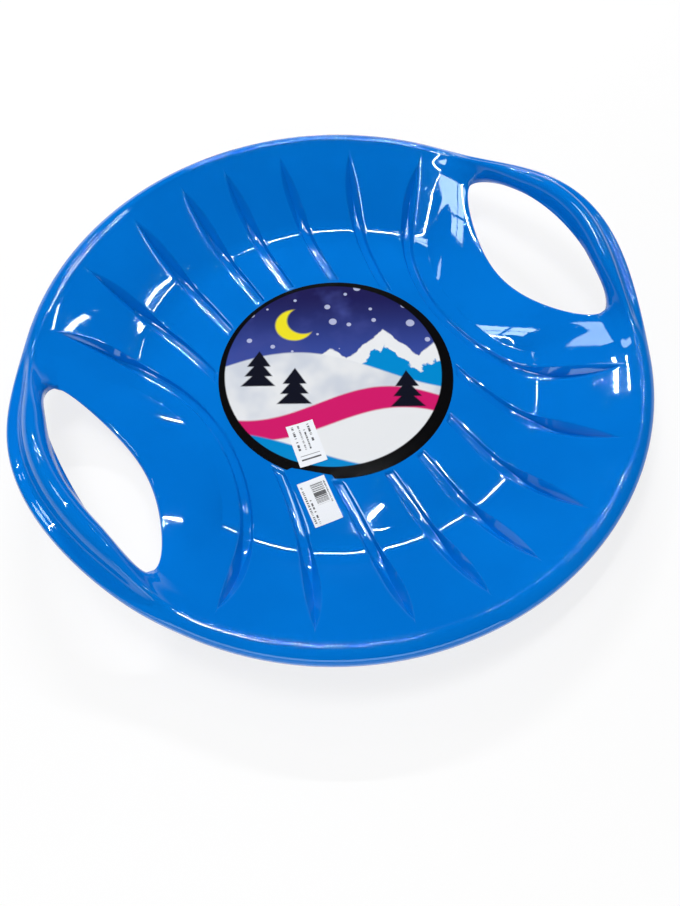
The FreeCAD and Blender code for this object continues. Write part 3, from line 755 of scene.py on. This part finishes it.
def build_floor():
    corners = [(x * GROUND_HALF, y * GROUND_HALF, 0.0) for x, y in ((-1, -1), (1, -1), (1, 1), (-1, 1))]
    floor = add_object("floor", corners, [(0, 1, 2, 3)])
    g = Graph(bpy.data.materials.new("pale_floor"))
    g.to("Base Color", g.mix(g.noise(g.place(), *GROUND_NOISE), *GROUND_COLOURS))
    g.to("Roughness", GROUND_ROUGHNESS)
    rays = g.add("ShaderNodeLightPath", {}).outputs
    mirrored = g.math("ADD", rays["Is Glossy Ray"], rays["Is Transmission Ray"])
    seen = g.math("MULTIPLY", g.math("ADD", rays["Is Camera Ray"], mirrored), GROUND_WHITE)
    white = g.add("ShaderNodeEmission", {"Color": WHITE, "Strength": 1.0}).outputs[0]
    both = g.add("ShaderNodeMixShader", {0: seen, 1: g.shader.outputs[0], 2: white}).outputs[0]
    g.tree.links.new(both, g.tree.nodes["Material Output"].inputs["Surface"])
    floor.data.materials.append(g.owner)


build_floor()

# Room: dark above and white low down
ROOM_TOP = 0.02
ROOM_FADE = (0.0, 0.3)
BACKDROP = 0.95


def build_room():
    world = bpy.data.worlds.new("room")
    bpy.context.scene.world = world
    g = Graph(world, "Background")
    direction = g.add("ShaderNodeTexCoord", {}).outputs["Generated"]
    height = g.add("ShaderNodeSeparateXYZ", {0: direction}).outputs[2]
    light = g.step(height, *ROOM_FADE, BACKDROP, ROOM_TOP)
    seen = g.add("ShaderNodeLightPath", {}).outputs["Is Camera Ray"]
    g.to("Strength", g.add("ShaderNodeMix", {0: seen, 2: light, 3: BACKDROP}).outputs[0])
    g.to("Color", WHITE)


build_room()

# Lamps: each is its way back, right and up as the camera sees it, then its size, power, turn and tilt
CEILING = 2.2
LAMPS = (
    ("strip_near", (0.30, -0.35, CEILING), (1.5, 0.016), 18.0, 45.0, 0.0),
    ("strip_far", (2.9, -0.20, CEILING), (1.3, 0.02), 100.0, 0.0, 0.0),
    ("strip_left", (1.95, -1.06, CEILING), (0.34, 0.02), 6.0, 90.0, 0.0),
    ("strip_right", (0.90, 1.20, CEILING), (1.1, 0.012), 5.0, 68.0, 0.0),
    ("strip_edge", (1.36, 1.04, CEILING), (0.20, 0.03), 1.0, 105.0, 0.0),
    ("pane_left", (1.38, -1.13, CEILING), (0.30, 0.22), 2.0, 20.0, 0.0),
    ("fill_front", (-0.95, 0.0, 0.40), (1.6, 0.30), 5.0, 0.0, 90.0),
)

# Skylight: a square of panes in the ceiling
SKYLIGHT_MIDDLE = (0.44, -0.56)
SKYLIGHT_PANES = 2
SKYLIGHT_PANE = 0.23
SKYLIGHT_STEP = 0.26
SKYLIGHT_POWER = 2.6

away = Vector((-math.sin(CAMERA_AZIMUTH), math.cos(CAMERA_AZIMUTH), 0.0))
side = Vector((math.cos(CAMERA_AZIMUTH), math.sin(CAMERA_AZIMUTH), 0.0))


def add_lamp(name, place, size, power, turn=0.0, tilt=0.0):
    lamp = bpy.data.lights.new(name, "AREA")
    lamp.shape = "RECTANGLE"
    lamp.size, lamp.size_y = size
    lamp.energy = power
    obj = bpy.data.objects.new(name, lamp)
    back, right, up = place
    at = away * back + side * right + Vector((0.0, 0.0, up))
    swung = Matrix.Rotation(CAMERA_AZIMUTH + math.radians(turn), 4, "Z")
    aim = swung @ Matrix.Rotation(math.radians(tilt), 4, "X")
    obj.matrix_world = Matrix.Translation(at) @ aim
    bpy.context.collection.objects.link(obj)


for lamp in LAMPS:
    add_lamp(*lamp)
for row in range(SKYLIGHT_PANES):
    for column in range(SKYLIGHT_PANES):
        back = SKYLIGHT_MIDDLE[0] + (row - (SKYLIGHT_PANES - 1) / 2) * SKYLIGHT_STEP
        right = SKYLIGHT_MIDDLE[1] + (column - (SKYLIGHT_PANES - 1) / 2) * SKYLIGHT_STEP
        place = (back, right, CEILING)
        add_lamp(f"skylight_{row}_{column}", place, (SKYLIGHT_PANE, SKYLIGHT_PANE), SKYLIGHT_POWER)

bpy.context.scene.view_settings.view_transform = "Standard"
